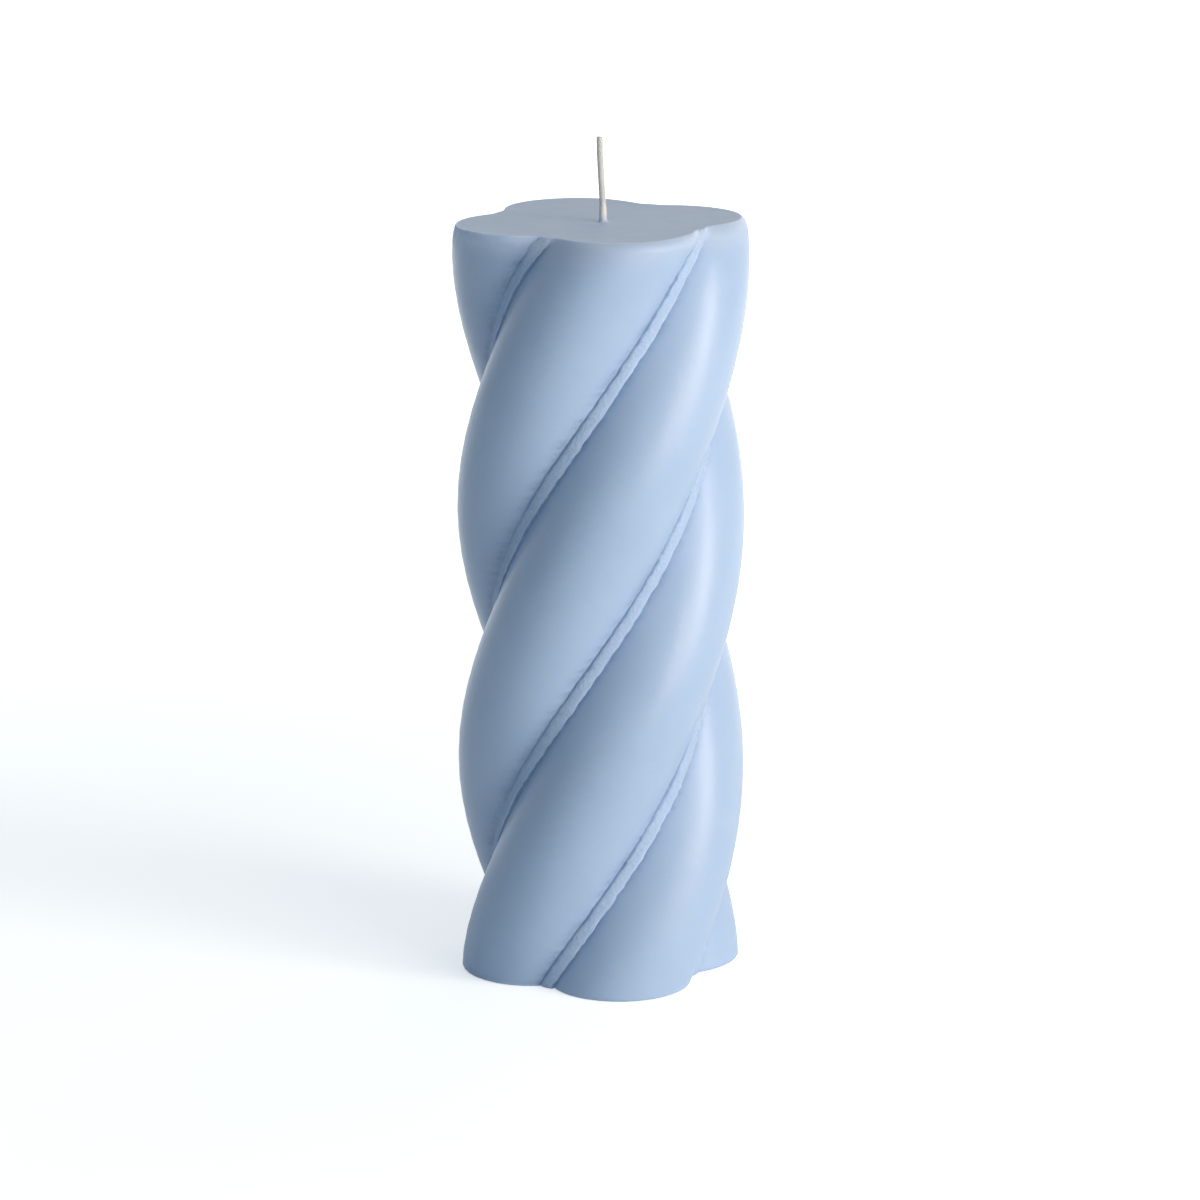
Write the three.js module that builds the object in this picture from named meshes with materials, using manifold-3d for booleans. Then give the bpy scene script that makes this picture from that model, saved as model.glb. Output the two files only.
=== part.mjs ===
// Twisted pillar candle, 200 mm tall. The wax is one casting: four round strands grown together and turned
// right-handed through three quarters of a turn, with a thin flat cord of wax in the groove between each
// strand and the next. A braided wick with a twisted core runs up through it from a stamped steel sustainer, set
// into the base. Millimetres, +Z up. The origin is the middle of the base, and the front faces -Y.
import * as THREE from "three";
import { mergeVertices } from "three/addons/utils/BufferGeometryUtils.js";
import Module from "manifold-3d";

const wasm = await Module();
wasm.setup();
const { degToRad, smoothstep } = THREE.MathUtils;

// Wax pillar
const pillarHeight = 200;
const strandCount = 4;
const strandOffset = 18.9; // from the pillar's axis to the middle of a strand
const strandRadius = 19.2;
const twistTurns = 0.75; // of each strand round the axis, from base to top
const topTwist = 4; // degrees that the strands turn on top of that just under the rim
const topTwistHeight = 16; // over this height, gathering towards the top
const baseAngle = 14.2; // degrees from +X to the first strand, at the base
const waistInset = 0.45; // how far the pillar draws in at mid height
const topFlare = 0.65; // how far it stands out again near the top
const topFlareHeight = 40;
const footTuck = 0.4; // how far it draws in at the base
const footTuckHeight = 16;
const rimInset = 1.4; // how far the rounded shoulder under the rim leans in
const rimDrop = 2.6; // and how far below the flat top it starts
const footBevel = 0.6;

// Wax cords in the grooves between the strands
const cordReach = 29.6; // from the pillar's axis to the flat face of a cord
const cordWidth = 3.7;
const cordBevel = 0.15;
const creaseDepth = 0.8; // from the flat face of a cord down to the bottom of the crease beside it
const creaseWidth = 0.4; // from the side of a cord to the edge of the strand

// Wick
const braidRadius = 0.85;
const braidWall = 0.35;
const coreClearance = 0.1;
const wickFreeLength = 22;
const wickExit = { x: 0.55, y: -1.2 }; // where the wick comes out of the top
const wickTip = { x: -0.3, y: -0.6 };
const wickDriftHeight = 60; // depth below the top where the wick starts to leave the axis
const wickClearance = 0.3; // round the wick, in the wax and in the sustainer

// Sustainer
const sheetThickness = 0.4;
const discRadius = 10;
const neckHeight = 6;
const neckBend = 1.2; // outside radius of the bend between the disc and the neck
const discInset = 0.5; // from the base up to the underside of the disc
const seatClearance = 0.3; // between the sustainer and the wax

// Facets
const strandSteps = 9;
const rimSteps = 3;
const pillarSteps = 44;
const wickSides = 12;
const wickSteps = 12;
const sustainerSides = 36;
const neckBendSteps = 3;

// What follows from the sizes above
const halfAngle = Math.PI / strandCount;
const neckInnerRadius = braidRadius + wickClearance;
const neckOuterRadius = neckInnerRadius + sheetThickness;
const neckTop = discInset + neckHeight;
const wickBottom = discInset;
const wickTop = pillarHeight + wickFreeLength;
const braidInnerRadius = braidRadius - braidWall;
const coreRadius = braidInnerRadius - coreClearance;
const overrun = 1; // how far a cutting solid runs past the face that it opens
const weldDistance = 1e-4; // corners closer than this are one

const waxMaterial = new THREE.MeshStandardMaterial({ color: 0xa6bbd7, roughness: 0.32, metalness: 0 });
const cottonMaterial = new THREE.MeshStandardMaterial({ color: 0xdcdccb, roughness: 0.75, metalness: 0 });
const coreMaterial = new THREE.MeshStandardMaterial({ color: 0xe9e4d3, roughness: 0.9, metalness: 0 });
const steelMaterial = new THREE.MeshStandardMaterial({ color: 0xb9bcc0, roughness: 0.35, metalness: 1 });

function bareGeometry(position) {
  return new THREE.BufferGeometry().setAttribute("position", position);
}

// A closed solid through level rings of equally many points, from the lowest up, with flat ends.
function solidOfRings(rings) {
  const count = rings[0].length;
  const positions = [];
  const face = (...corners) => corners.forEach((p) => positions.push(p.x, p.y, p.z));
  for (let i = 0; i + 1 < rings.length; i++) {
    for (let j = 0; j < count; j++) {
      const next = (j + 1) % count;
      face(rings[i][j], rings[i][next], rings[i + 1][next]);
      face(rings[i][j], rings[i + 1][next], rings[i + 1][j]);
    }
  }
  const endCentre = (ring) => ring.reduce((sum, p) => sum.add(p), new THREE.Vector3()).divideScalar(count);
  const bottom = rings[0];
  const top = rings[rings.length - 1];
  const bottomCentre = endCentre(bottom);
  const topCentre = endCentre(top);
  for (let j = 0; j < count; j++) {
    const next = (j + 1) % count;
    face(bottomCentre, bottom[next], bottom[j]);
    face(topCentre, top[j], top[next]);
  }
  return bareGeometry(new THREE.Float32BufferAttribute(positions, 3));
}

function manifoldOf(geometry) {
  const merged = mergeVertices(geometry, weldDistance);
  return new wasm.Manifold(
    new wasm.Mesh({
      numProp: 3,
      vertProperties: merged.attributes.position.array,
      triVerts: new Uint32Array(merged.index.array),
    }),
  );
}

function cut(body, cutter) {
  const mesh = manifoldOf(body).subtract(manifoldOf(cutter)).getMesh();
  const geometry = bareGeometry(new THREE.BufferAttribute(mesh.vertProperties, 3));
  return geometry.setIndex(new THREE.BufferAttribute(mesh.triVerts, 1));
}

// How much further from the axis the wax stands at a height than the plain strands would.
function swell(z) {
  const waist = waistInset * (0.5 - 0.5 * Math.cos((2 * Math.PI * z) / pillarHeight));
  const flare = topFlare * smoothstep(z, pillarHeight - topFlareHeight, pillarHeight);
  const tuck = footTuck * Math.max(0, 1 - z / footTuckHeight) ** 2;
  return flare - waist - tuck;
}

function twistAt(z) {
  const nearTop = Math.max(0, 1 - (pillarHeight - z) / topTwistHeight);
  return degToRad(baseAngle + topTwist * nearTop ** 2) + 2 * Math.PI * twistTurns * (z / pillarHeight);
}

// Half of the arc that a strand shows, up to the crease beside the cord, seen from the strand's own middle.
function strandHalfArc() {
  const across = strandOffset * Math.sin(halfAngle) - cordWidth / 2 - creaseWidth;
  return halfAngle + Math.asin(across / strandRadius);
}

// A strand's level section: the arc that it shows, with the strand's middle out along +X.
function strandOutline() {
  return Array.from({ length: strandSteps + 1 }, (_, i) => {
    const angle = strandHalfArc() * ((2 * i) / strandSteps - 1);
    return new THREE.Vector2(strandOffset + strandRadius * Math.cos(angle), strandRadius * Math.sin(angle));
  });
}

// A cord's level section: a flat band that stands up between its two creases, with its middle out along +X.
function cordOutline() {
  const side = [
    [cordReach - creaseDepth, cordWidth / 2],
    [cordReach - cordBevel, cordWidth / 2],
    [cordReach, cordWidth / 2 - cordBevel],
  ];
  const below = side.map(([out, across]) => new THREE.Vector2(out, -across));
  const above = side.toReversed().map(([out, across]) => new THREE.Vector2(out, across));
  return [...below, ...above];
}

// The pillar's level section as points round the axis: each strand's arc, then the cord after it.
function pillarSection() {
  const axis = new THREE.Vector2();
  return Array.from({ length: strandCount }, (_, k) => [
    ...strandOutline().map((p) => p.rotateAround(axis, 2 * halfAngle * k)),
    ...cordOutline().map((p) => p.rotateAround(axis, 2 * halfAngle * (k + 0.5))),
  ]).flat();
}

function pillarRing(section, z, inset) {
  return section.map((p) => {
    const radius = p.length() + swell(z) - inset;
    const angle = p.angle() + twistAt(z);
    return new THREE.Vector3(radius * Math.cos(angle), radius * Math.sin(angle), z);
  });
}

function pillarSolid() {
  const section = pillarSection();
  const rings = [pillarRing(section, 0, footBevel)];
  const wallHeight = pillarHeight - rimDrop - footBevel;
  for (let i = 0; i <= pillarSteps; i++) {
    rings.push(pillarRing(section, footBevel + (wallHeight * i) / pillarSteps, 0));
  }
  for (let i = 1; i <= rimSteps; i++) {
    const turn = (Math.PI / 2) * (i / rimSteps);
    const z = pillarHeight - rimDrop * (1 - Math.sin(turn));
    rings.push(pillarRing(section, z, rimInset * (1 - Math.cos(turn))));
  }
  return solidOfRings(rings);
}

// The wick's centre line: on the axis low down, drifting to where it leaves the wax, leaning to its tip.
function wickCentre(z) {
  const drift = smoothstep(z, pillarHeight - wickDriftHeight, pillarHeight);
  const lean = smoothstep(z, pillarHeight, wickTop);
  return new THREE.Vector2(
    wickExit.x * drift + (wickTip.x - wickExit.x) * lean,
    wickExit.y * drift + (wickTip.y - wickExit.y) * lean,
  );
}

function wickRing(z, radius) {
  const centre = wickCentre(z);
  return Array.from({ length: wickSides }, (_, i) => {
    const angle = (2 * Math.PI * i) / wickSides;
    return new THREE.Vector3(centre.x + radius * Math.cos(angle), centre.y + radius * Math.sin(angle), z);
  });
}

// A round rod along the wick's centre line, with its rings closest together where the line curves.
function wickRod(radius, bottom, top) {
  const bendStart = pillarHeight - wickDriftHeight;
  const heights = [bottom];
  for (let i = 0; i < wickSteps; i++) {
    heights.push(bendStart + ((wickTop - bendStart) * i) / wickSteps);
  }
  return solidOfRings([...heights.filter((z) => z < top), top].map((z) => wickRing(z, radius)));
}

function turned(points, sides) {
  return new THREE.LatheGeometry(
    points.map(([radius, z]) => new THREE.Vector2(radius, z)),
    sides,
  ).rotateX(Math.PI / 2);
}

// The room in the wax for the sustainer: a shallow round recess in the base, and a bore round the neck.
function sustainerRoom() {
  const recessRadius = discRadius + seatClearance;
  const recessTop = discInset + sheetThickness + seatClearance;
  const neckRoom = neckOuterRadius + seatClearance;
  const profile = [
    [0, -overrun],
    [recessRadius, -overrun],
    [recessRadius, recessTop],
    [neckRoom + neckBend, recessTop],
    [neckRoom, recessTop + neckBend],
    [neckRoom, neckTop + seatClearance],
    [0, neckTop + seatClearance],
  ];
  return bareGeometry(turned(profile, sustainerSides).toNonIndexed().getAttribute("position"));
}

function waxPillar() {
  const wickRoom = wickRod(braidRadius + wickClearance, wickBottom, pillarHeight + overrun);
  return cut(cut(pillarSolid(), sustainerRoom()), wickRoom);
}

function wickBraid() {
  const hole = wickRod(braidInnerRadius, wickBottom - overrun, wickTop + overrun);
  return cut(wickRod(braidRadius, wickBottom, wickTop), hole);
}

function wickCore() {
  return wickRod(coreRadius, wickBottom, wickTop);
}

// A stamped disc drawn up into a neck round the wick. The sheet keeps its thickness through the bend.
function wickSustainer() {
  const centreRadius = neckOuterRadius + neckBend;
  const centreHeight = discInset + sheetThickness + neckBend;
  const bend = (radius) =>
    Array.from({ length: neckBendSteps + 1 }, (_, i) => {
      const angle = (Math.PI / 2) * (i / neckBendSteps);
      return [centreRadius - radius * Math.sin(angle), centreHeight - radius * Math.cos(angle)];
    });
  const underside = bend(neckBend + sheetThickness);
  const profile = [
    ...underside.toReversed(),
    [discRadius, discInset],
    [discRadius, discInset + sheetThickness],
    ...bend(neckBend),
    [neckOuterRadius, neckTop],
    [neckInnerRadius, neckTop],
    underside[neckBendSteps],
  ];
  return turned(profile, sustainerSides);
}

const candle = new THREE.Group();
function addPiece(name, geometry, material) {
  const mesh = new THREE.Mesh(geometry, material);
  mesh.name = name;
  candle.add(mesh);
}
addPiece("wax_pillar", waxPillar(), waxMaterial);
addPiece("wick_braid", wickBraid(), cottonMaterial);
addPiece("wick_core", wickCore(), coreMaterial);
addPiece("wick_sustainer", wickSustainer(), steelMaterial);

export default candle;
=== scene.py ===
import math

import bpy
import numpy as np
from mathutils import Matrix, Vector, noise


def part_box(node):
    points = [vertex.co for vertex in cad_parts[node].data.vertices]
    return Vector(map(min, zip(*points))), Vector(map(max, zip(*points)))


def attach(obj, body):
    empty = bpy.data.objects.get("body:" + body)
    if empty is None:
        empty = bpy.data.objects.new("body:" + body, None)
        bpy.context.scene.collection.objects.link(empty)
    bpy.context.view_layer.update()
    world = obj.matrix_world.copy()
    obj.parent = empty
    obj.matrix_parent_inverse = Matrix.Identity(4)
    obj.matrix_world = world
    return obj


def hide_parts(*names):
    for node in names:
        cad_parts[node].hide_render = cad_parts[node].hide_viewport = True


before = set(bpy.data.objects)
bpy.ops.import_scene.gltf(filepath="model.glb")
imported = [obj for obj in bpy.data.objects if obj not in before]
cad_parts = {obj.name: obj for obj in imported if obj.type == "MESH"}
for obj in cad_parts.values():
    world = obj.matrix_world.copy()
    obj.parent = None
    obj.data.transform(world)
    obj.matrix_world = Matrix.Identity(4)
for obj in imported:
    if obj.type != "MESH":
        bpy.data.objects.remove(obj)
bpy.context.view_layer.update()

MM = 0.001
SEED = 27

# Sizes of the candle are in millimetres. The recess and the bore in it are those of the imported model.

# Wax pillar
STRANDS = 4
STRAND_OFFSET = 18.9  # from the pillar's axis to a strand's middle
STRAND_RADIUS = 19.2
TWIST_TURNS = 0.75
TOP_TWIST = math.radians(4)  # that the strands turn on top of that just under the rim
TOP_TWIST_HEIGHT = 16
BASE_ANGLE = math.radians(14.2)  # of the first strand at the foot
WAIST_INSET = 0.45
TOP_FLARE = 0.65
TOP_FLARE_HEIGHT = 40
FOOT_TUCK = 0.4
FOOT_TUCK_HEIGHT = 16
SKIN_INSET = 0.1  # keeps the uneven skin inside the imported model's box

# Cords. The section is made of distances across from a cord's middle, each with how far its skin there
# stands out past the reach.
CORD_REACH = 29.6  # from the pillar's axis
CORD_SECTION = (
    (-2.15, -1.0),
    (-2.06, -0.55),
    (-1.95, -0.36),
    (-1.8, -0.23),
    (-1.5, -0.11),
    (-1.0, -0.02),
    (-0.4, 0.04),
    (0.2, 0.07),
    (0.8, 0.04),
    (1.2, 0.0),
    (1.36, 0.05),
    (1.48, 0.09),
    (1.6, 0.02),
    (1.72, -0.35),
    (1.84, -0.9),
)
CORD_MIDDLE = (-0.5, 1.0)  # distances across from where a cord counts as left to where it counts as right

# Creases beside a cord: their places across, how far the strand rounds over into them, and their depths
CREASES = ((-2.2, 2.8, 0.3), (1.88, 0.9, 0.24))
CREASE_WIDTH = 0.25  # of a crease's side towards the cord
CREASE_SHARPNESS = 1.5

# Raggedness: each wave is its length up a cord and its height
FULLNESS_WAVES = ((17, 0.08), (3.1, 0.03))  # of a cord's face
EDGE_WAVES = ((14, 0.1), (2.7, 0.08), (1.2, 0.16), (0.8, 0.15))  # of a cord's edges, across the cord
EDGE_WAVE_FADES = ((0.4, 1.2), (2.6, 4.4))  # distances across over which these come and go
CREASE_WAVES = ((2.1, 0.08), (0.8, 0.1))  # of a crease's depth

# The pale line along a cord's right edge, partly wear and partly a painted highlight, and painted shade along
# both sides of the cord, patchy where the wax is rough
EDGE_LINE = (1.44, 0.22)  # its place across and its width
# strength of the pale line, partly wear and partly a painted highlight
EDGE_LINE_STRENGTH = 0.6
EDGE_LINE_WAVES = ((9, 0.3), (2.2, 0.2))
DARK_LINES = ((-3.3, 1.1, 1.0), (2.3, 0.9, 0.5))  # their places across, widths and strengths, for the painted shade beside each cord
DARK_LEAST = 0.65  # strength of the painted shade where the wax isn't rough
DARK_MOST = 1.2
ROUGH_WAVES = ((0.9, 0.5), (3, 0.3))
ROUGH_DEPTH = 0.05
GRAIN_FADES = ((-2.6, -2.0), (1.0, 1.25))  # distances across over which a cord's grain comes and goes

# Where the cords melt into the rim
CORD_FADES = ((7.5, 2.5), (3.4, 1.0))  # depths where that starts and ends, on a cord's left and on its right
CORD_MELT = 1.2  # how broadly a cord melts into its strands
RIM_GROOVE_REACH = 29.8  # from the axis to the bottom of a groove at the rim
RIM_CORD_HEIGHT = 0.04  # of what is left of a cord there
RIM_CORD_WIDTH = 1.3

# The shoulder under the rim leans in unevenly: directions in degrees from +X, and how far it leans in there
RIM_LEAN = (
    (5, 1.2),
    (25, 0.6),
    (60, 0.5),
    (76, 1.2),
    (95, 0.4),
    (200, 0.3),
    (216, 1.7),
    (232, 1.2),
    (248, 0.6),
    (280, 1.9),
    (308, 3.5),
    (322, 2.2),
    (333, 0.9),
    (346, 2.0),
)
RIM_LEAN_WAVE = (9, 0.15)  # length of a wave along the rim, and the share by which it changes the lean
RIM_DROP = 2.6  # how far down the shoulder starts
RIM_TURN = math.radians(80)  # how far it turns before the edge of the flat top

# Frosting of the rim, paler and duller than the rest; its paleness is partly painted light, brightest in one
# direction
RIM_FROST_AND_LIGHT = (207, 32)  # the direction in degrees in which the rim is palest, with frost and painted light, and how far that spreads
RIM_FROST_LEAST = 0.12
# strength of the pale band under the rim, partly bloom and partly painted light
RIM_BLOOM_AND_LIGHT = 0.75
RIM_BLOOM_AND_LIGHT_DROPS = (8, 0.4 * RIM_DROP)  # how far down it starts, and how far down it is at its full strength
RIM_DULLNESS = 0.6
RIM_LINE_LEAST = 0.7  # strength of the pale line along the edge, partly wear and partly painted light, where the rim has neither frost nor painted light
RIM_LINE_SHARPNESS = 4
RIM_LINE_SHARE = 0.035  # of the way from the rim to the wick, over which the line fades

# Top, foot and bore. A wave on a face is its length, its height and a shift that sets it apart from others.
TOP_SINK = 0.16
TOP_SINK_SHARE = 0.2  # of the way from the rim to the wick, over which the top sinks
TOP_WAVES = ((11, 0.06, 0), (4, 0.03, 9))
MOULD_WAVES = ((21, 0.045, 0), (7, 0.03, 40))
FOOT_RADIUS = 0.9
FOOT_WAVE = (9, 0.3)  # length of a wave along the foot, and the share by which it changes the radius
RECESS_RADIUS = 10.3
RECESS_DEPTH = 1.2
RECESS_EDGE = 0.25
NECK_ROOM_RADIUS = 1.85
NECK_ROOM_TOP = 6.8
NECK_ROOM_TAPER = 1.0  # height over which the room for the neck narrows to the bore
BORE_RADIUS = 1.0
BORE_TOP_DROP = 4  # how far below the top the bore's first ring lies
COLLAR_RADIUS = 2.6  # of the wax that is drawn up round the wick, whose radii and heights follow
COLLAR = ((2.0, -0.2), (1.5, -0.15), (1.22, -0.05), (1.1, 0.12), (1.03, 0.35), (0.95, 0.5))

# Columns round the wax in each quarter, and rings up it
STRAND_COLUMNS = 9  # from beside a crease to the middle of a strand
STRAND_BUNCHING = 1.3  # how strongly these crowd towards the crease
BESIDE_CORD = (-3.3, -2.85, -2.55, -2.32, 2.06, 2.25, 2.5, 2.9)  # places across for columns by the creases
SIDE_RINGS = 505
FINE_DROP = 3 * RIM_DROP  # how far below the top the closer rings start
FINE_RINGS = 16
EDGE_STEPS = 6
TOP_EDGE_SHARES = (0.004, 0.01, 0.025, 0.045)  # of the way from the rim to the wick, for the first rings
TOP_NEXT_SHARE = 0.07
TOP_RINGS = 14
TOP_BUNCHING = 0.9
BASE_RINGS = 6
BORE_RINGS = 8

# Wick
WICK_RADIUS = 0.85
WICK_EXIT = (0.55, -1.2)  # X and Y of where it leaves the wax
WICK_TIP = (-0.3, -0.6)
WICK_DRIFT_HEIGHT = 60
WICK_FINE_LENGTH = 27  # below the tip, with the fine steps
WICK_FINE_STEP = 0.15
WICK_HIDDEN_STEP = 0.45
YARNS_EACH_WAY = 6
YARN_HALF_WIDTH = 0.29
YARN_HALF_THICKNESS = 0.105
YARN_WIDTH_WAVE = (2.3, 0.06)
YARN_WEAVE = 0.05
YARN_ENDS = (0.15, 0.4)  # nearest and furthest that a yarn's cut end lies below the tip
BRAID_PITCH = 9.0
CORE_PLIES = 3
CORE_RADIUS = 0.4
CORE_PITCH = 3.2
PLY_ENDS = (0.12, 0.2)
PLY_FULLNESS = 1.05  # the plies press into one another
STRIP_SIDES = 8

# The coat of wax on the wick
COAT_HEIGHT = 5.2
COAT_FULL_HEIGHT = 0.24 * COAT_HEIGHT
COAT_THICKNESS = 0.2
COAT_OVERLAP = 0.1  # how far its inside lies inside the wick
COAT_EDGE_SINK = 0.03  # how far its thin end sinks into the yarns
COAT_ROOT = 3  # how far it starts below the top
COAT_FIRST_RISE = 0.4
COAT_RINGS = 22
COAT_SIDES = 40
COAT_WAVES = ((0.9, 0.05, 0), (0.4, 0.03, 5))
COAT_END_DROP = 0.35  # of its ragged end, at least
COAT_END_WAVE = (0.8, 0.9)  # length of a wave round that end, and how much further the end drops with it

# Sustainer
SHEET = 0.4
DISC_FLAT = (3.2, 9.4)  # radii between which the disc is drawn ring by ring
DISC_RINGS = 32
DISC_RIDGE = (6.2, 0.45)  # radius and width of the pressed ridge
DISC_RIDGE_HEIGHT = 0.1
# Points round the disc's edge: distances past its radius and above its underside
DISC_EDGE = ((-0.12, 0), (-0.03, 0.05), (0, 0.14), (0, SHEET - 0.1), (-0.08, SHEET))
NECK_BEND = 1.2
NECK_BEND_STEPS = 8
NECK_INNER_RADIUS = 1.15
NECK_RINGS = 14
LIP_BEVEL = 0.1
LIP_DROP = 0.05
CRIMP_DEPTH = 0.24
CRIMP_DROPS = (1.6, 0.9)  # distances below the neck's top between which the crimp is at its deepest
SUSTAINER_SIDES = 96

# Colours and gloss of the wax. Where there are two colours, the material goes from one to the other.
CLOUD_BLUES = ((0.352, 0.483, 0.676, 1), (0.407, 0.539, 0.731, 1))
SPECK_BLUE = (0.46, 0.57, 0.74, 1)
PAINTED_SHADE_BLUE = (0.15, 0.24, 0.42, 1)  # painted shade beside the cords
GRAIN_BLUE = (0.52, 0.65, 0.82, 1)  # on the cords
CUT_GREY = (0.52, 0.56, 0.625, 1)  # on the top and the base
WORN_AND_LIT_BLUES = ((0.47, 0.62, 0.84, 1), (0.67, 0.81, 1, 1))  # where worn and where highlight and light are painted, from least to most
WAX_IOR = 1.44
DULL_FOOT = (5, 55)  # heights between which the wax gets glossier, as it is dull where it has been handled

# Colours of the wick, the wax on it and the sustainer
COTTON_WHITES = ((0.6, 0.61, 0.57, 1), (0.74, 0.75, 0.71, 1))
COTTON_PATCH = (0.68, 0.7, 0.69, 1)
CORE_CREAMS = ((0.66, 0.63, 0.54, 1), (0.82, 0.8, 0.72, 1))
COAT_CREAMS = ((0.66, 0.64, 0.6, 1), (0.74, 0.72, 0.68, 1))
COAT_BLUE = (0.6, 0.65, 0.73, 1)
COAT_BLUE_RISES = (0.6, 2.6)  # heights above the top between which the coat goes from blue to cream
TIN_GREYS = ((0.66, 0.665, 0.67, 1), (0.52, 0.53, 0.55, 1))

# Spans of a noise texture's values, which are 0.5 on the whole
ALL = (0, 1)
NEARLY_ALL = (0.2, 0.8)
MOST = (0.3, 0.7)
MIDDLE = (0.35, 0.65)
UPPER = (0.4, 0.7)
PEAKS = (0.62, 0.75)

# Camera, as fitted to the photograph
CAMERA_AZIMUTH = -90  # in degrees from +X
CAMERA_DISTANCE = 1.27  # in metres
CAMERA_PITCH = math.radians(13.72)
SENSOR_WIDTH = 36  # in millimetres
PHOTO_WIDTH = 1200
FOCAL_PIXELS = 4825
MIDDLE_PIXEL = (600.89, 596.45)  # where the middle of the wax lies in the photograph

# Studio, in metres
WHITE = (1, 1, 1, 1)
FLOOR_RADIUS = 6.0
FLOOR_SIDES = 96
FLOOR_COLOUR = (0.74, 0.79, 0.82, 1)
FLOOR_LIFT = (0.55, 1.0)  # extra white that only eyes and reflections see, near the candle and far from it
FLOOR_LIFT_REACH = (0.12, 0.9)  # distances from the candle over which it rises
WORLD_STRENGTH = 0.22
WORLD_TINT = (0.43, 0.74, 1, 1)
LAMP_TINT = (1, 0.88, 0.78)
# Soft boxes: name, azimuth from the camera's side towards +X and height above the floor in degrees, distance
# from the middle of the wax, width and height in metres, and power in watts
LAMPS = (
    ("key_box", 59, 21, 1.5, 0.4, 0.65, 5.9),
    ("broad_right", 50, 12, 1.5, 1.3, 0.8, 17.8),
    ("front", 10, 12, 1.5, 0.9, 0.8, 1.1),
    ("overhead", 0, 82, 1.5, 1.6, 1.6, 5.1),
    ("behind", 155, 22, 1.5, 1.2, 1.0, 6),
)

# A colour Mix node's sockets by number
MIX_INPUTS = (0, 6, 7)
MIX_RESULT = 2

_, wax_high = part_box("wax_pillar")
disc_low, disc_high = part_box("wick_sustainer")
wick_low, wick_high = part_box("wick_braid")
HEIGHT = wax_high.z / MM
WICK_TOP = wick_high.z / MM
WICK_BOTTOM = wick_low.z / MM
DISC_RADIUS = disc_high.x / MM
DISC_BOTTOM = disc_low.z / MM
NECK_TOP = disc_high.z / MM

HALF_STEP = math.pi / STRANDS
AXIS = (0, 0)


def add_camera():
    camera = bpy.data.objects.new("camera", bpy.data.cameras.new("camera"))
    bpy.context.scene.collection.objects.link(camera)
    bpy.context.scene.camera = camera
    camera.data.sensor_width = SENSOR_WIDTH
    camera.data.lens = FOCAL_PIXELS / PHOTO_WIDTH * SENSOR_WIDTH
    camera.data.shift_x = (PHOTO_WIDTH / 2 - MIDDLE_PIXEL[0]) / PHOTO_WIDTH
    camera.data.shift_y = (MIDDLE_PIXEL[1] - PHOTO_WIDTH / 2) / PHOTO_WIDTH
    back = CAMERA_DISTANCE * math.cos(CAMERA_PITCH)
    up = CAMERA_DISTANCE * math.sin(CAMERA_PITCH)
    camera.location = (0, -back, HEIGHT / 2 * MM + up)
    camera.rotation_euler = (math.pi / 2 - CAMERA_PITCH, 0, 0)


def smoothstep(x, low, high):
    t = np.clip((x - low) / (high - low), 0, 1)
    return t * t * (3 - 2 * t)


def bell(x, middle, width):
    return np.exp(-(((x - middle) / width) ** 2))


def wander(rng, heights, step, amount):
    """A smooth random curve over the heights that turns about once in each step."""
    knots = rng.uniform(-amount, amount, int(np.max(heights) / step) + 5)
    place = np.maximum(heights, 0) / step + 1
    i = place.astype(int)
    t = place - i
    a, b, c, d = (knots[i + k] for k in (-1, 0, 1, 2))
    return b + 0.5 * t * (c - a + t * (2 * a - 5 * b + 4 * c - d + t * (3 * (b - c) + d - a)))


def perlin(points, scale):
    """Smooth noise in -1 to 1 at each point, with features about one scale across."""
    flat = points.reshape(-1, 3) / scale
    values = [noise.noise(Vector(p)) for p in flat]
    return np.array(values).reshape(points.shape[:-1])


def unevenness(points, waves):
    """How far the surface stands out at each point, from waves of a length, a height and a shift."""
    return sum(height * perlin(points + shift, length) for length, height, shift in waves)


def grid_faces(rows, columns, closed):
    """Quads over rows of columns that run round, and back to the first row where closed is set."""
    row = np.arange(rows if closed else rows - 1)[:, None] * columns
    above = (row + columns) % (rows * columns)
    column = np.arange(columns)[None, :]
    after = (column + 1) % columns
    corners = (row + column, row + after, above + after, above + column)
    return np.stack(np.broadcast_arrays(*corners), -1).reshape(-1, 4)


def full_turn(steps):
    return np.arange(steps) / steps * 2 * math.pi


def make_object(name, vertices, faces, material):
    mesh = bpy.data.meshes.new(name)
    mesh.from_pydata((np.asarray(vertices) * MM).tolist(), [], [list(map(int, f)) for f in faces])
    mesh.polygons.foreach_set("use_smooth", [True] * len(mesh.polygons))
    mesh.update()
    piece = bpy.data.objects.new(name, mesh)
    bpy.context.scene.collection.objects.link(piece)
    piece.data.materials.append(material)
    return piece


def paint(piece, name, values):
    """Keeps one number for each vertex, for the piece's material to read."""
    attribute = piece.data.attributes.new(name, "FLOAT", "POINT")
    attribute.data.foreach_set("value", np.asarray(values, np.float32).ravel())


def swell(z):
    """How much further from the axis the wax stands at a height than the plain strands would."""
    waist = WAIST_INSET * (0.5 - 0.5 * np.cos(2 * math.pi * z / HEIGHT))
    flare = TOP_FLARE * smoothstep(z, HEIGHT - TOP_FLARE_HEIGHT, HEIGHT)
    tuck = FOOT_TUCK * np.maximum(0, 1 - z / FOOT_TUCK_HEIGHT) ** 2
    return flare - waist - tuck


def twist_at(z):
    near_top = np.maximum(0, 1 - (HEIGHT - z) / TOP_TWIST_HEIGHT)
    return BASE_ANGLE + 2 * math.pi * TWIST_TURNS * (z / HEIGHT) + TOP_TWIST * near_top**2


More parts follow.
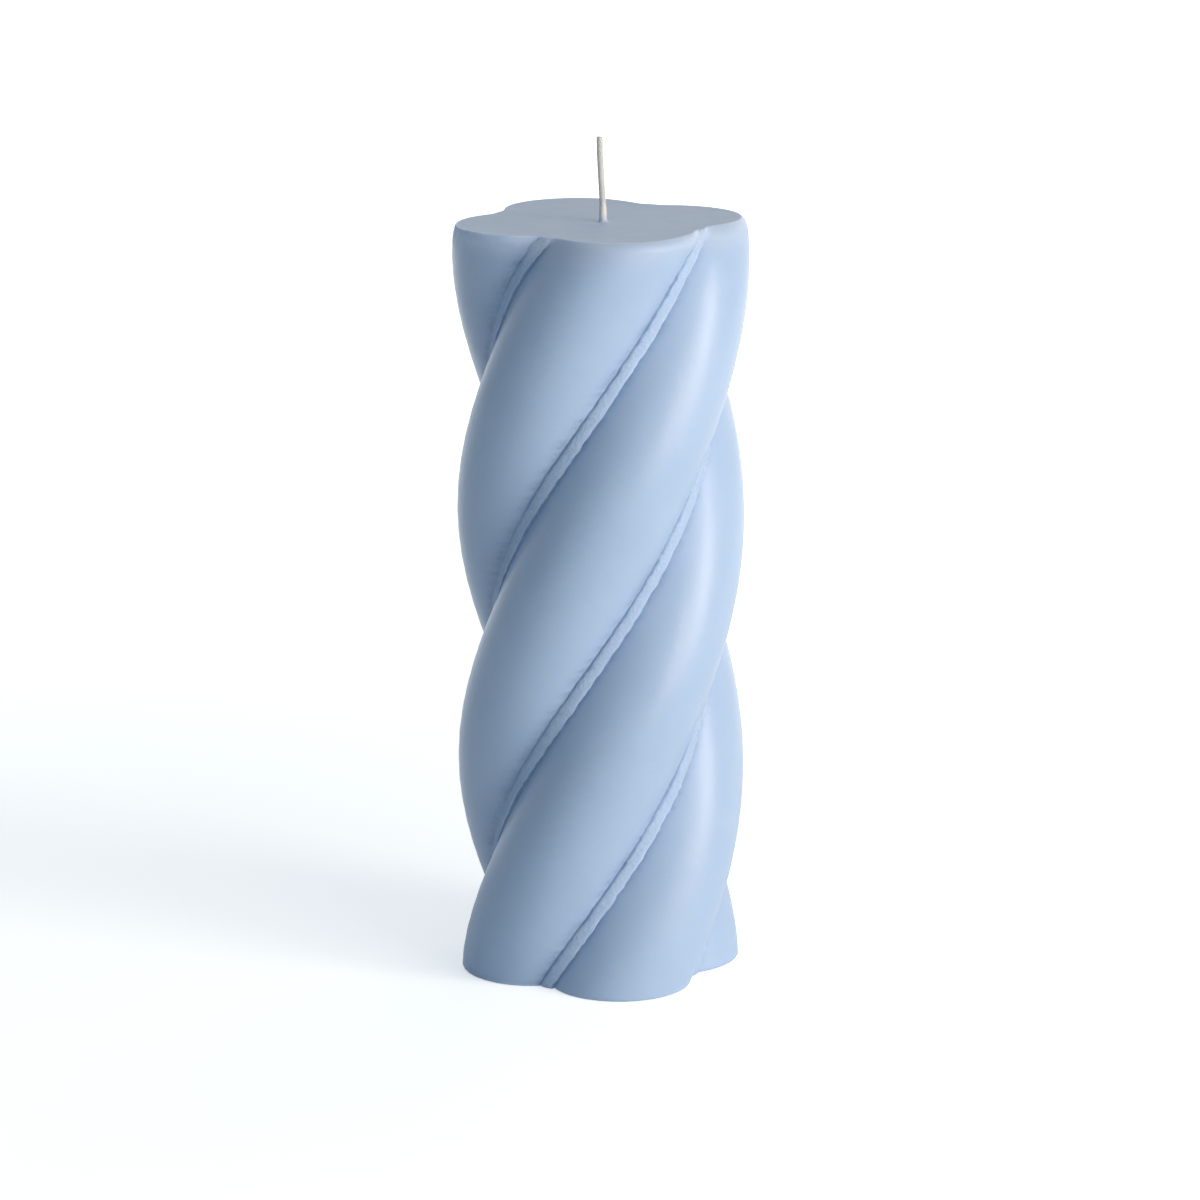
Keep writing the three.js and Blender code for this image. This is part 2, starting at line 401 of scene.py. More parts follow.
def wick_centre(z):
    """The wick's centre line: on the axis low down, drifting to its exit from the wax, leaning to its tip."""
    z = np.asarray(z)
    drift = smoothstep(z, HEIGHT - WICK_DRIFT_HEIGHT, HEIGHT)
    lean = smoothstep(z, HEIGHT, WICK_TOP)
    return np.stack([out * drift + (tip - out) * lean for out, tip in zip(WICK_EXIT, WICK_TIP)], -1)


def strand_reach(from_cord):
    """Distance from the axis to the strand's surface, by the angle from the nearest cord's direction."""
    angle = HALF_STEP - np.abs(from_cord)
    across = STRAND_OFFSET * np.sin(angle)
    return STRAND_OFFSET * np.cos(angle) + np.sqrt(STRAND_RADIUS**2 - across**2)


def cord_reach(across):
    """Distance from the axis to the cord's skin, a flat band with crisp edges, by the distance across it."""
    places, levels = zip(*CORD_SECTION)
    return CORD_REACH + np.interp(across, places, levels, left=-CORD_REACH, right=-CORD_REACH)


def quarter_columns():
    """Angles from a cord's direction over one quarter of the pillar, closest together at the cord's edges."""
    near = np.sort([place for place, _ in CORD_SECTION] + list(BESIDE_CORD)) / CORD_REACH
    share = np.linspace(0, 1, STRAND_COLUMNS + 1)[1:] ** STRAND_BUNCHING
    left = near[0] + (-HALF_STEP - near[0]) * share
    right = near[-1] + (HALF_STEP - near[-1]) * share
    return np.concatenate([left[::-1][1:], near, right])


def melted_reach(from_cord, strand):
    """The cord and its strands run together, as they do at the rim."""
    bump = RIM_GROOVE_REACH + RIM_CORD_HEIGHT * bell(from_cord * CORD_REACH, 0, RIM_CORD_WIDTH)
    share = np.clip(0.5 + 0.5 * (bump - strand) / CORD_MELT, 0, 1)
    return strand * (1 - share) + bump * share + CORD_MELT * share * (1 - share)


def along_cords(rng, heights, groove, waves):
    """Random curves over the heights, one for each groove, spread over the columns by their groove."""
    curves = [sum(wander(rng, heights, *wave) for wave in waves) for _ in range(STRANDS)]
    return np.stack(curves, 1)[:, groove]


def side_form(rng, columns, z):
    """The wax at each height and column: its distance from the axis, and how far the column is moved round.

    With them come how worn the wax is there along with its painted highlight, how much painted shade lies
    there, and how grainy it is.
    """
    from_cord = np.tile(columns, STRANDS)
    groove = np.repeat(np.arange(STRANDS), len(columns))
    across = (from_cord * CORD_REACH)[None, :]
    fullness = along_cords(rng, z, groove, FULLNESS_WAVES)
    ragged = [along_cords(rng, z, groove, EDGE_WAVES) for _ in range(2)]
    near, far = EDGE_WAVE_FADES
    hold = smoothstep(np.abs(across), *near) * smoothstep(-np.abs(across), -far[1], -far[0])
    moved = np.where(across < 0, *ragged) * hold
    strand = strand_reach(from_cord[None, :] + moved / CORD_REACH)
    reach = np.maximum(strand, cord_reach(across) + fullness)
    for place, rounding, depth in CREASES:
        depth = depth + along_cords(rng, z, groove, CREASE_WAVES)
        away = (across - place) * np.sign(place)
        slot = np.maximum(0, 1 - np.abs(away) / np.where(away < 0, CREASE_WIDTH, rounding))
        reach = reach - slot**CREASE_SHARPNESS * depth
    to_right = smoothstep(across, *CORD_MIDDLE)
    start, end = (left + (right - left) * to_right for left, right in zip(*CORD_FADES))
    melt = smoothstep(z[:, None], HEIGHT - start, HEIGHT - end)
    reach = reach * (1 - melt) + melted_reach(from_cord, strand) * melt
    # the pale line along a cord's right edge: partly wear, partly a painted highlight
    line_strength = np.clip(EDGE_LINE_STRENGTH + along_cords(rng, z, groove, EDGE_LINE_WAVES), 0, 1)
    line = bell(across, *EDGE_LINE) * line_strength
    rough = along_cords(rng, z, groove, ROUGH_WAVES)
    # Painted shade: soft dark bands beside each cord, where the grooves' shadow falls
    dark = sum(share * bell(across, place, width) for place, width, share in DARK_LINES)
    dark = dark * (1 - melt)
    reach = reach - ROUGH_DEPTH * dark * np.clip(rough, 0, 1)
    comes, goes = GRAIN_FADES
    grain = smoothstep(across, *comes) * (1 - smoothstep(across, *goes)) * np.ones_like(reach)
    return reach, moved / CORD_REACH, line, dark * np.clip(DARK_LEAST + rough, 0, DARK_MOST), grain


def ring_points(reach, angles, z):
    return np.stack([reach * np.cos(angles), reach * np.sin(angles), np.broadcast_to(z, reach.shape)], -1)


def side_heights():
    """Heights of the rings from the foot up over the shoulder, and how far the shoulder has turned there."""
    fine_from = HEIGHT - FINE_DROP
    low = np.linspace(FOOT_RADIUS, fine_from, SIDE_RINGS)[:-1]
    high = np.linspace(fine_from, HEIGHT - RIM_DROP, FINE_RINGS)
    turn = RIM_TURN * np.arange(1, EDGE_STEPS + 1) / EDGE_STEPS
    shoulder = HEIGHT - RIM_DROP * (1 - np.sin(turn) / math.sin(RIM_TURN))
    return np.concatenate([low, high, shoulder]), np.concatenate([np.zeros(len(low) + len(high)), turn])


class Skin:
    """The rings of the wax's closed skin in order, with each one's wear and painted light, how cut it is, its
    painted shade and its grain.
    """

    def __init__(self, around):
        self.around = around
        self.rings, self.wear, self.cut, self.dark, self.grain = [], [], [], [], []

    def add(self, flat, level, wear=0.0, cut=0.0, dark=0.0, grain=0.0):
        count = len(self.around)
        self.rings.append(np.column_stack([flat, np.broadcast_to(level, count)]))
        self.wear.append(np.broadcast_to(wear, count))
        self.cut.append(np.broadcast_to(cut, count))
        self.dark.append(np.broadcast_to(dark, count))
        self.grain.append(np.broadcast_to(grain, count))

    def circle(self, radius, centre, level):
        angles = self.around + twist_at(level)
        return np.column_stack([centre[0] + radius * np.cos(angles), centre[1] + radius * np.sin(angles)])

    def add_circle(self, radius, centre, level, wear=0.0, cut=0.0):
        self.add(self.circle(radius, centre, level), level, wear, cut)


def inset(flat, distance):
    return flat * (1 - distance / np.linalg.norm(flat, axis=1))[:, None]


def add_base(skin, foot):
    """The recess for the sustainer, the flat face that the candle stands on, and its rounded edge."""
    skin.add_circle(NECK_ROOM_RADIUS, AXIS, RECESS_DEPTH + NECK_BEND)
    skin.add_circle(NECK_ROOM_RADIUS + NECK_BEND, AXIS, RECESS_DEPTH)
    skin.add_circle(RECESS_RADIUS - RECESS_EDGE, AXIS, RECESS_DEPTH)
    skin.add_circle(RECESS_RADIUS, AXIS, RECESS_DEPTH - RECESS_EDGE)
    skin.add_circle(RECESS_RADIUS, AXIS, RECESS_EDGE, wear=0.3)
    skin.add_circle(RECESS_RADIUS + RECESS_EDGE, AXIS, 0, wear=0.8, cut=1)
    recess_edge = skin.circle(RECESS_RADIUS + RECESS_EDGE, AXIS, 0)
    length, change = FOOT_WAVE
    rounding = FOOT_RADIUS * (1 + change * perlin(foot, length))
    foot_edge = inset(foot[:, :2], rounding)
    for share in np.linspace(0, 1, BASE_RINGS + 2)[1:-1]:
        skin.add(recess_edge * (1 - share) + foot_edge * share, 0, wear=0.1, cut=1)
    for step in range(EDGE_STEPS):
        turn = math.pi / 2 * step / EDGE_STEPS
        flat = inset(foot[:, :2], rounding * (1 - math.sin(turn)))
        skin.add(flat, FOOT_RADIUS * (1 - math.cos(turn)), wear=0.8 * math.cos(turn) ** 2, cut=0.4)


def rim_lean(angle):
    """How far the shoulder leans in at each angle, eased from one direction of the list to the next."""
    first, lean = RIM_LEAN[0]
    degrees = (np.degrees(angle) - first) % 360
    following = (*RIM_LEAN[1:], (first + 360, lean))
    for (start, here), (end, there) in zip(RIM_LEAN, following):
        lean = lean + (there - here) * smoothstep(degrees, start - first, end - first)
    return lean


def rim_frost_and_light(angle):
    """How pale the wax is at the rim at each angle, partly from frost and partly from painted light."""
    direction, spread = RIM_FROST_AND_LIGHT
    away = (np.degrees(angle) - direction + 180) % 360 - 180
    return RIM_FROST_LEAST + (1 - RIM_FROST_LEAST) * bell(away, 0, spread)


def add_top(skin, rim_edge, line):
    """The flat top, a little sunken inside its rim, up to where the wax is drawn up round the wick."""
    collar = skin.circle(COLLAR_RADIUS, WICK_EXIT, HEIGHT)
    inner_shares = np.linspace(TOP_NEXT_SHARE, 1, TOP_RINGS) ** TOP_BUNCHING
    for share in np.concatenate([TOP_EDGE_SHARES, inner_shares]):
        flat = rim_edge * (1 - share) + collar * share
        points = np.column_stack([flat, np.full(len(flat), HEIGHT)])
        sunk = TOP_SINK * smoothstep(share, 0, TOP_SINK_SHARE) + unevenness(points, TOP_WAVES)
        fade = max(0, 1 - share / RIM_LINE_SHARE)
        skin.add(flat, HEIGHT - np.maximum(0, sunk), wear=line * fade, cut=1)


def add_wick_room(skin):
    """The collar of wax on the wick, and the bore down to the room for the sustainer's neck."""
    for radius, rise in COLLAR:
        centre = wick_centre(HEIGHT + max(0, rise))
        skin.add(skin.circle(radius, centre, HEIGHT), HEIGHT + rise, wear=0.2, cut=0.8)
    for level in np.linspace(HEIGHT - BORE_TOP_DROP, NECK_ROOM_TOP + NECK_ROOM_TAPER, BORE_RINGS):
        skin.add_circle(BORE_RADIUS, wick_centre(level), level)
    skin.add_circle(NECK_ROOM_RADIUS, AXIS, NECK_ROOM_TOP)


def wax_skin():
    """The wax's closed skin: the recess and the base, up the side, in over the top and down the bore."""
    rng = np.random.default_rng(SEED)
    columns = quarter_columns()
    around = np.concatenate([columns + HALF_STEP * (2 * k + 1) for k in range(STRANDS)])
    z, turn = side_heights()
    reach, moved, wear_and_painted_light, dark, grain = side_form(rng, columns, z)
    angles = around[None, :] + moved + twist_at(z)[:, None]
    leaning = (1 - np.cos(turn[:, None])) / (1 - math.cos(RIM_TURN))
    length, change = RIM_LEAN_WAVE
    ragged = 1 + change * perlin(ring_points(reach[-1], angles[-1], HEIGHT), length)
    reach = reach + (swell(z) - SKIN_INSET)[:, None] - rim_lean(angles) * ragged * leaning
    side = ring_points(reach, angles, z[:, None])
    side[..., :2] *= (1 + unevenness(side, MOULD_WAVES) / reach)[..., None]
    skin = Skin(around)
    add_base(skin, side[0])
    frost_and_light = rim_frost_and_light(angles)
    line = RIM_LINE_LEAST + (1 - RIM_LINE_LEAST) * frost_and_light
    starts, full = RIM_BLOOM_AND_LIGHT_DROPS
    bloom_and_light = smoothstep(z, HEIGHT - starts, HEIGHT - full)[:, None]
    # the rim's pale band and the pale line along its edge: partly bloom and wear, partly painted light
    rim_wear_and_light = np.maximum(RIM_BLOOM_AND_LIGHT * frost_and_light * bloom_and_light, line * (turn[:, None] / RIM_TURN) ** RIM_LINE_SHARPNESS)
    wear = np.maximum(wear_and_painted_light, rim_wear_and_light)
    for i, ring in enumerate(side):
        skin.add(ring[:, :2], ring[:, 2], wear[i], RIM_DULLNESS * bloom_and_light[i], dark[i], grain[i])
    add_top(skin, side[-1][:, :2], line[-1])
    add_wick_room(skin)
    return skin


def make_wax():
    skin = wax_skin()
    faces = grid_faces(len(skin.rings), len(skin.around), True)
    piece = make_object("wax_body", np.concatenate(skin.rings), faces, wax_material())
    # wear with the painted highlight and light, and the painted shade, for the material to read
    paint(piece, "wear_and_painted_light", skin.wear)
    paint(piece, "cut_face", skin.cut)
    paint(piece, "painted_shade", skin.dark)
    paint(piece, "grainy", skin.grain)
    return piece


def strip(path, across, out, half_width, half_thickness):
    """Vertices and faces of a closed strip of oval section along a path, with flat ends."""
    turn = full_turn(STRIP_SIDES)
    ring = (
        path[:, None, :]
        + half_width * np.cos(turn)[None, :, None] * across[:, None, :]
        + half_thickness * np.sin(turn)[None, :, None] * out[:, None, :]
    )
    count = len(path)
    faces = [list(f) for f in grid_faces(count, STRIP_SIDES, False)]
    faces.append(list(range(STRIP_SIDES))[::-1])
    faces.append([(count - 1) * STRIP_SIDES + i for i in range(STRIP_SIDES)])
    return ring.reshape(-1, 3), faces


def join_strips(strips):
    vertices, faces, start = [], [], 0
    for points, its_faces in strips:
        vertices.append(points)
        faces.extend([[i + start for i in face] for face in its_faces])
        start += len(points)
    return np.concatenate(vertices), faces


def wick_heights(top):
    fine_from = WICK_TOP - WICK_FINE_LENGTH
    hidden = np.arange(WICK_BOTTOM, fine_from, WICK_HIDDEN_STEP)
    return np.concatenate([hidden, np.arange(fine_from, top, WICK_FINE_STEP), [top]])


def helix(z, radius, angle):
    """Points round the wick's centre line, with the directions across the strip and out of the wick."""
    out = np.stack([np.cos(angle), np.sin(angle), np.zeros_like(z)], -1)
    path = np.concatenate([wick_centre(z), z[:, None]], -1) + radius[:, None] * out
    along = np.gradient(path, axis=0)
    along /= np.linalg.norm(along, axis=1)[:, None]
    across = np.cross(out, along)
    across /= np.linalg.norm(across, axis=1)[:, None]
    return path, across, out


def make_braid():
    """Flat yarns wound both ways round the wick, each passing over and under those that cross it."""
    rng = np.random.default_rng(SEED + 1)
    middle = WICK_RADIUS - YARN_HALF_THICKNESS - YARN_WEAVE
    yarns = []
    for direction in (1, -1):
        for k in range(YARNS_EACH_WAY):
            z = wick_heights(WICK_TOP - rng.uniform(*YARN_ENDS))
            turn = 2 * math.pi * z / BRAID_PITCH
            angle = direction * turn + 2 * math.pi * k / YARNS_EACH_WAY
            weave = direction * YARN_WEAVE * np.cos(YARNS_EACH_WAY * turn)
            path, across, out = helix(z, middle + weave, angle)
            width = YARN_HALF_WIDTH * (1 + wander(rng, z, *YARN_WIDTH_WAVE))[:, None]
            yarns.append(strip(path, across * width, out, 1, YARN_HALF_THICKNESS))
    vertices, faces = join_strips(yarns)
    return make_object("wick_braid_yarns", vertices, faces, cotton_material())


def make_core():
    rng = np.random.default_rng(SEED + 2)
    ply = CORE_RADIUS / (1 + 1 / math.sin(math.pi / CORE_PLIES))
    plies = []
    for k in range(CORE_PLIES):
        z = wick_heights(WICK_TOP - rng.uniform(*PLY_ENDS))
        angle = 2 * math.pi * (z / CORE_PITCH + k / CORE_PLIES)
        path, across, out = helix(z, np.full_like(z, CORE_RADIUS - ply), angle)
        plies.append(strip(path, across, out, ply * PLY_FULLNESS, ply * PLY_FULLNESS))
    vertices, faces = join_strips(plies)
    return make_object("wick_core_plies", vertices, faces, core_material())


def circle_on_wick(radius, level):
    turn = full_turn(COAT_SIDES)
    x, y = wick_centre(level)
    return np.stack([x + radius * np.cos(turn), y + radius * np.sin(turn), np.full(COAT_SIDES, level)], -1)


def make_coat():
    """The thin coat of wax that climbed the wick while the candle set."""
    visible = np.linspace(HEIGHT + COAT_FIRST_RISE, HEIGHT + COAT_HEIGHT, COAT_RINGS)
    levels = np.concatenate([[HEIGHT - COAT_ROOT, HEIGHT], visible])
    climb = smoothstep(levels, HEIGHT + COAT_HEIGHT, HEIGHT + COAT_FULL_HEIGHT)
    radii = WICK_RADIUS - COAT_EDGE_SINK + COAT_THICKNESS * climb
    outer = [circle_on_wick(radius, level) for radius, level in zip(radii, levels)]
    inner = [circle_on_wick(WICK_RADIUS - COAT_OVERLAP, level) for level in levels[::-1]]
    for i, level in enumerate(levels):
        centre = np.append(wick_centre(level), level)
        lumps = unevenness(outer[i], COAT_WAVES) / WICK_RADIUS
        outer[i] = centre + (outer[i] - centre) * (1 + lumps)[:, None]
    length, drop = COAT_END_WAVE
    outer[-1][:, 2] -= COAT_END_DROP + drop * np.abs(perlin(outer[-1], length))
    rings = np.stack(outer + inner)
    faces = grid_faces(len(rings), COAT_SIDES, True)
    return make_object("wick_wax_coat", rings.reshape(-1, 3), faces, coat_material())


def sustainer_outline():
    """Radii and heights round the sheet metal: down inside the neck, out under the disc, and back over it.

    The height at which the neck bends out into the disc comes with them.
    """
    outer_radius = NECK_INNER_RADIUS + SHEET
    centre_radius = outer_radius + NECK_BEND
    centre_z = DISC_BOTTOM + SHEET + NECK_BEND

    def arc(radius):
        bend = np.linspace(0, math.pi / 2, NECK_BEND_STEPS + 1)
        return [(centre_radius - radius * math.sin(a), centre_z - radius * math.cos(a)) for a in bend]

    inside = [(NECK_INNER_RADIUS, z) for z in np.linspace(NECK_TOP, centre_z, NECK_RINGS)]
    under = [
        (radius, DISC_BOTTOM + DISC_RIDGE_HEIGHT * bell(radius, *DISC_RIDGE))
        for radius in np.linspace(*DISC_FLAT, DISC_RINGS)
    ]
    edge = [(DISC_RADIUS + past, DISC_BOTTOM + up) for past, up in DISC_EDGE]
    over = [(radius, z + SHEET) for radius, z in under[::-1]]
    outside = [(outer_radius, z) for z in np.linspace(centre_z, NECK_TOP - LIP_DROP, NECK_RINGS)]
    lip = [(outer_radius - LIP_BEVEL, NECK_TOP), (NECK_INNER_RADIUS + LIP_BEVEL, NECK_TOP)]
    lower_half = inside + arc(NECK_BEND + SHEET)[::-1][1:] + under + edge
    return np.array(lower_half + over + arc(NECK_BEND) + outside[1:] + lip), centre_z


def make_sustainer():
    """The stamped disc and its neck, crimped on two opposite sides to grip the wick."""
    outline, neck_bottom = sustainer_outline()
    radius, z = outline[:, :1], outline[:, 1:]
    turn = full_turn(SUSTAINER_SIDES)[None, :]
    from_below, from_above = CRIMP_DROPS
    grip = smoothstep(z, neck_bottom, NECK_TOP - from_below) * smoothstep(z, NECK_TOP, NECK_TOP - from_above)
    radius = radius - CRIMP_DEPTH * grip * np.maximum(0, np.cos(2 * turn)) ** 2
    rings = ring_points(radius, turn, z)
    faces = grid_faces(len(outline), SUSTAINER_SIDES, True)
    return make_object("sustainer_disc", rings.reshape(-1, 3), faces, tinplate_material())


class Nodes:
    """A node tree with short ways to add nodes and link them."""

    def __init__(self, tree):
        self.tree = tree

    def node(self, kind, inputs, **settings):
        node = self.tree.nodes.new(kind)
        for name, value in settings.items():
            setattr(node, name, value)
        for name, value in inputs.items():
            if isinstance(value, bpy.types.NodeSocket):
                self.tree.links.new(value, node.inputs[name])
            else:
                node.inputs[name].default_value = value
        return node

    def place(self):
        return self.node("ShaderNodeTexCoord", {}).outputs["Object"]

    def height(self):
        return self.node("ShaderNodeSeparateXYZ", {"Vector": self.place()}).outputs["Z"]

    def range(self, value, span, result, **settings):
        ends = dict(zip(("From Min", "From Max", "To Min", "To Max"), (*span, *result)))
        return self.node("ShaderNodeMapRange", {"Value": value, **ends}, **settings).outputs["Result"]

    def math(self, operation, a, b):
        return self.node("ShaderNodeMath", {0: a, 1: b}, operation=operation).outputs["Value"]

    def mix(self, share, a, b):
        inputs = dict(zip(MIX_INPUTS, (share, a, b)))
        return self.node("ShaderNodeMix", inputs, data_type="RGBA").outputs[MIX_RESULT]

    def seen_directly(self):
        """1 for rays from the eye, from a gloss and through glass, and 0 for the rest."""
        path = self.node("ShaderNodeLightPath", {})
        seen = self.math("MAXIMUM", path.outputs["Is Camera Ray"], path.outputs["Is Glossy Ray"])
        return self.math("MAXIMUM", seen, path.outputs["Is Transmission Ray"])


class Shader(Nodes):
    """A material's nodes around its Principled shader. A texture's scale counts its features in a metre."""

    def __init__(self, name):
        self.material = bpy.data.materials.new(name)
        self.material.use_nodes = True
        super().__init__(self.material.node_tree)
        self.surface = self.tree.nodes["Principled BSDF"]

    def set(self, **values):
        for name, value in values.items():
            self.surface.inputs[name.replace("_", " ")].default_value = value

    def link(self, output, name):
        self.tree.links.new(output, self.surface.inputs[name])

    def stretched(self, scale):
        return self.node("ShaderNodeMapping", {"Vector": self.place(), "Scale": scale}).outputs["Vector"]

    def noise(self, scale, detail=3, roughness=0.5, vector=None):
        inputs = {"Vector": vector or self.place(), "Scale": scale, "Detail": detail, "Roughness": roughness}
        return self.node("ShaderNodeTexNoise", inputs).outputs["Fac"]

    def spots(self, scale):
        inputs = {"Vector": self.place(), "Scale": scale}
        return self.node("ShaderNodeTexVoronoi", inputs).outputs["Distance"]

    def painted(self, name):
        return self.node("ShaderNodeAttribute", {}, attribute_name=name).outputs["Fac"]

    def bump(self, height, distance, strength=1.0, normal=None):
        inputs = {"Height": height, "Distance": distance * MM, "Strength": strength}
        if normal:
            inputs["Normal"] = normal
        return self.node("ShaderNodeBump", inputs).outputs["Normal"]


def wax_colour(shader, clouds, wear, cut, grainy):
    """Clouded blue with paler specks, painted shade beside the cords, greyer where cut, and paler where worn
    and where highlight and light are painted.
    """
    specks = shader.range(shader.noise(900, detail=2), PEAKS, (0, 0.25))
    colour = shader.mix(shader.range(clouds, NEARLY_ALL, ALL), *CLOUD_BLUES)
    colour = shader.mix(specks, colour, SPECK_BLUE)
    flecks = shader.range(shader.noise(1500, detail=2), MIDDLE, ALL)
    # painted shade beside the cords, flecked
    painted_shade_share = shader.math("MULTIPLY", shader.painted("painted_shade"), shader.range(flecks, ALL, (0.2, 0.52)))
    colour = shader.mix(painted_shade_share, colour, PAINTED_SHADE_BLUE)
    pale_flecks = shader.math("MULTIPLY", grainy, shader.range(flecks, ALL, (0, 0.3)))
    colour = shader.mix(pale_flecks, colour, GRAIN_BLUE)
    streaks = shader.noise(150, detail=5, vector=shader.stretched((0.8, 2, 1)))
    sawn = shader.math("MULTIPLY", cut, shader.range(streaks, MOST, (0.25, 0.7)))
    colour = shader.mix(sawn, colour, CUT_GREY)
    pale_patches = shader.range(shader.noise(420, detail=3), MOST, (0.6, 1))
    # paler where the wax is worn and where highlight and light are painted
    return shader.mix(shader.math("MULTIPLY", wear, pale_patches), colour, shader.mix(wear, *WORN_AND_LIT_BLUES))


def wax_roughness(shader, clouds, cut, grainy):
    low, high = DULL_FOOT
    handled = shader.range(shader.height(), (low * MM, high * MM), (0.22, 0))
    dull = shader.math("MULTIPLY", shader.math("MAXIMUM", cut, grainy), 0.4)
    plain = shader.math("ADD", shader.range(clouds, NEARLY_ALL, (0.26, 0.34)), handled)
    return shader.math("ADD", plain, dull)


def wax_relief(shader, grainy):
    """Fine skin, soft dents, small pits, and the grain of the cords."""
    fine = shader.bump(shader.noise(1400, detail=3), 0.02)
    soft = shader.bump(shader.noise(160, detail=3), 0.08, normal=fine)
    pits = shader.range(shader.spots(230), (0, 0.13), ALL)
    pitted = shader.bump(pits, 0.06, 0.5, normal=soft)
    grains = shader.math("MULTIPLY", grainy, shader.noise(900, detail=3, roughness=0.6))
    return shader.bump(grains, 0.5, 0.7, normal=pitted)


def wax_material():
    shader = Shader("pale_blue_wax")
    shader.set(Subsurface_Weight=0.3, Subsurface_Radius=(0.6, 0.8, 1.2), Subsurface_Scale=MM)
    shader.set(IOR=WAX_IOR, Specular_IOR_Level=0.42)
    clouds = shader.noise(22, detail=4, roughness=0.6)
    wear, cut, grainy = (shader.painted(name) for name in ("wear_and_painted_light", "cut_face", "grainy"))
    shader.link(wax_colour(shader, clouds, wear, cut, grainy), "Base Color")
    shader.link(wax_roughness(shader, clouds, cut, grainy), "Roughness")
    shader.link(wax_relief(shader, grainy), "Normal")
    return shader.material


def cotton_material():
    shader = Shader("waxed_cotton")
    shader.set(Subsurface_Weight=0.2, Subsurface_Radius=(0.8, 0.8, 0.7), Subsurface_Scale=MM)
    shader.set(Sheen_Weight=0.5, Sheen_Roughness=0.5)
    fibres = shader.noise(1800, detail=3, vector=shader.stretched((3, 3, 0.35)))
    patches = shader.noise(140, detail=2)
    colour = shader.mix(shader.range(fibres, MOST, ALL), *COTTON_WHITES)
    colour = shader.mix(shader.range(patches, UPPER, (0, 0.5)), colour, COTTON_PATCH)
    shader.link(colour, "Base Color")
    shader.link(shader.range(patches, MOST, (0.5, 0.72)), "Roughness")
    shader.link(shader.bump(fibres, 0.04, 0.7), "Normal")
    return shader.material


def core_material():
    shader = Shader("twisted_paper_core")
    fibres = shader.noise(2600, detail=2)
    shader.link(shader.mix(fibres, *CORE_CREAMS), "Base Color")
    shader.link(shader.range(fibres, MOST, (0.75, 0.92)), "Roughness")
    shader.link(shader.bump(fibres, 0.03, 0.6), "Normal")
    return shader.material


def coat_material():
    shader = Shader("wax_on_wick")
    shader.set(Subsurface_Weight=0.35, Subsurface_Radius=(0.6, 0.6, 0.6), Subsurface_Scale=MM, IOR=WAX_IOR)
    low, high = COAT_BLUE_RISES
    blue = shader.range(shader.height(), ((HEIGHT + low) * MM, (HEIGHT + high) * MM), (1, 0))
    lumps = shader.noise(900, detail=2)
    shader.link(shader.mix(blue, shader.mix(lumps, *COAT_CREAMS), COAT_BLUE), "Base Color")
    shader.link(shader.range(lumps, MOST, (0.3, 0.45)), "Roughness")
    shader.link(shader.bump(lumps, 0.03, 0.6), "Normal")
    return shader.material


def tinplate_material():
    shader = Shader("tinplate")
    shader.set(Metallic=1.0, IOR=2.5)
    grain = shader.noise(700, detail=4, vector=shader.stretched((1, 14, 1)))
    stains = shader.noise(180, detail=4)
    shader.link(shader.mix(shader.range(stains, UPPER, ALL), *TIN_GREYS), "Base Color")
    shader.link(shader.range(grain, MOST, (0.25, 0.45)), "Roughness")
    shader.link(shader.bump(grain, 0.01, 0.4), "Normal")
    return shader.material


def floor_material():
    """Matt, with extra white that only eyes and reflections see, so that it keeps the candle's shadow."""
    material = bpy.data.materials.new("studio_floor")
    material.use_nodes = True
    nodes = Nodes(material.node_tree)
    nodes.tree.nodes.clear()
    away = nodes.node("ShaderNodeVectorMath", {0: nodes.place()}, operation="LENGTH").outputs["Value"]
    lift = nodes.range(away, FLOOR_LIFT_REACH, FLOOR_LIFT, interpolation_type="SMOOTHSTEP")
    strength = nodes.math("MULTIPLY", lift, nodes.seen_directly())
    diffuse = nodes.node("ShaderNodeBsdfDiffuse", {"Color": FLOOR_COLOUR}).outputs["BSDF"]
    glow = nodes.node("ShaderNodeEmission", {"Strength": strength}).outputs["Emission"]
    both = nodes.node("ShaderNodeAddShader", {0: diffuse, 1: glow}).outputs["Shader"]
    nodes.node("ShaderNodeOutputMaterial", {"Surface": both})
    return material


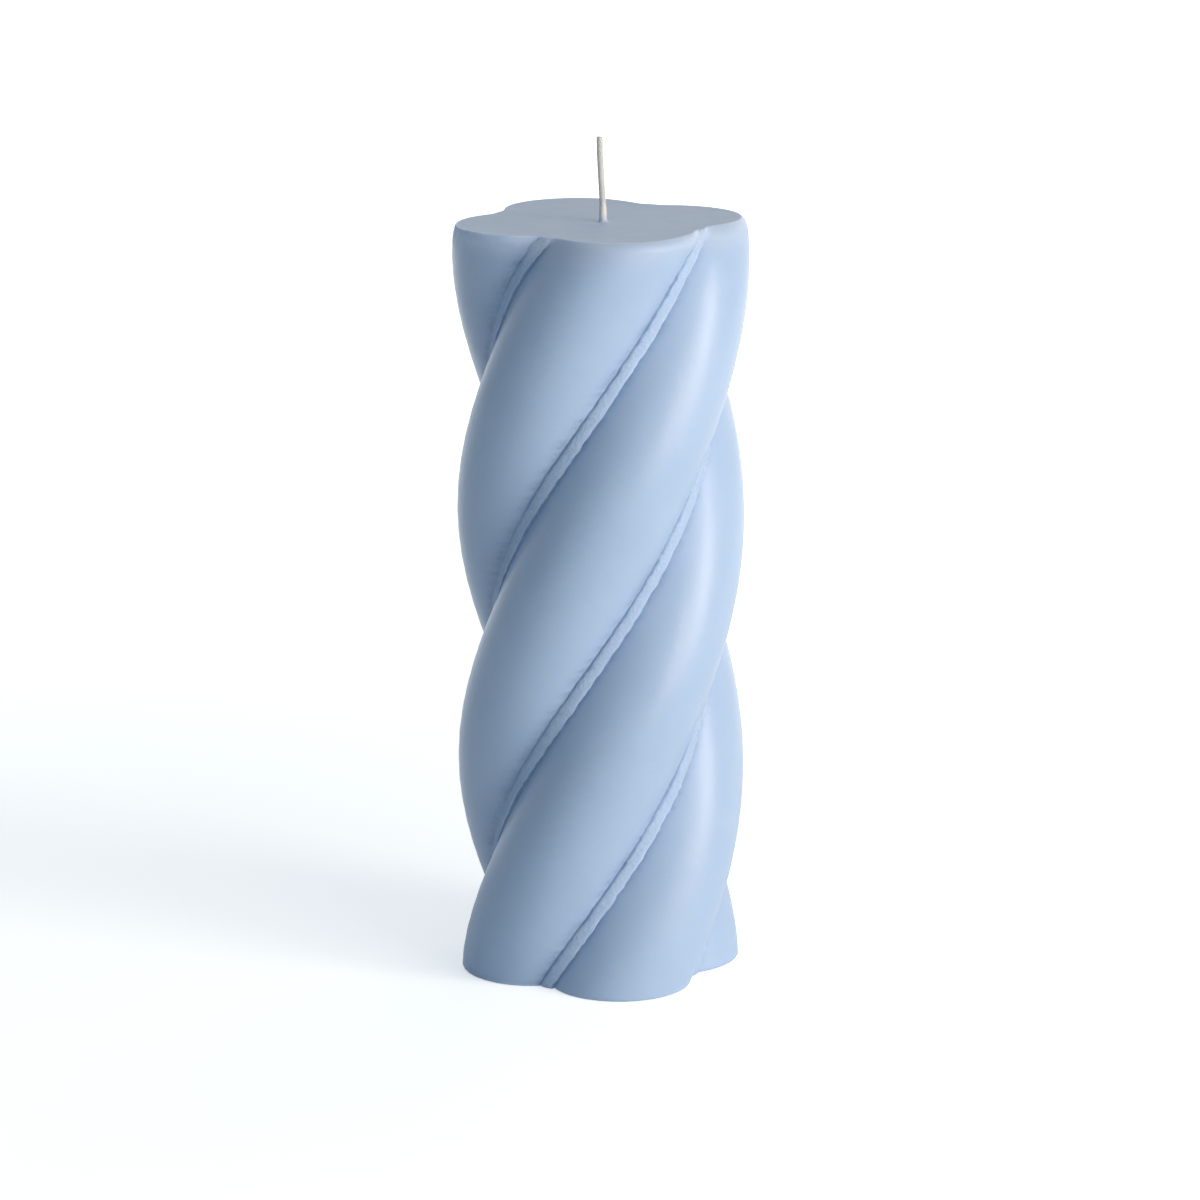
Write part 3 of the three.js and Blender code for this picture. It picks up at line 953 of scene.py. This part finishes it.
def add_floor():
    turns = full_turn(FLOOR_SIDES)
    rim = [(FLOOR_RADIUS * math.cos(turn), FLOOR_RADIUS * math.sin(turn), 0) for turn in turns]
    mesh = bpy.data.meshes.new("floor")
    mesh.from_pydata(rim, [], [list(range(FLOOR_SIDES))])
    floor = bpy.data.objects.new("floor", mesh)
    bpy.context.scene.collection.objects.link(floor)
    floor.data.materials.append(floor_material())


def add_world():
    """A tinted light all round the candle, which eyes and reflections see as plain white."""
    world = bpy.data.worlds.new("studio")
    bpy.context.scene.world = world
    world.use_nodes = True
    nodes = Nodes(world.node_tree)
    background = nodes.tree.nodes["Background"]
    seen = nodes.seen_directly()
    nodes.tree.links.new(nodes.mix(seen, WORLD_TINT, WHITE), background.inputs["Color"])
    nodes.tree.links.new(nodes.range(seen, ALL, (WORLD_STRENGTH, 1)), background.inputs["Strength"])


def add_lamps():
    middle = Vector((0, 0, HEIGHT / 2 * MM))
    for name, azimuth, elevation, distance, width, height, power in LAMPS:
        lamp = bpy.data.lights.new(name, "AREA")
        lamp.shape = "RECTANGLE"
        lamp.size = width
        lamp.size_y = height
        lamp.energy = power
        lamp.color = LAMP_TINT
        turn = math.radians(azimuth + CAMERA_AZIMUTH)
        rise = math.radians(elevation)
        place = Vector((math.cos(turn) * math.cos(rise), math.sin(turn) * math.cos(rise), math.sin(rise)))
        holder = bpy.data.objects.new(name, lamp)
        bpy.context.scene.collection.objects.link(holder)
        holder.location = middle + distance * place
        holder.rotation_euler = (-place).to_track_quat("-Z", "Y").to_euler()


def dress():
    wax = make_wax()
    braid = make_braid()
    core = make_core()
    coat = make_coat()
    sustainer = make_sustainer()
    for piece, node, slot in (
        (wax, "wax_pillar", "wax"),
        (braid, "wick_braid", "wick_cotton"),
        (core, "wick_core", "wick_core"),
        (sustainer, "wick_sustainer", "sustainer_steel"),
    ):
        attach(piece, "root")
        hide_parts(node)
    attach(coat, "root")


add_camera()
dress()
add_floor()
add_world()
add_lamps()
bpy.context.scene.view_settings.view_transform = "Standard"
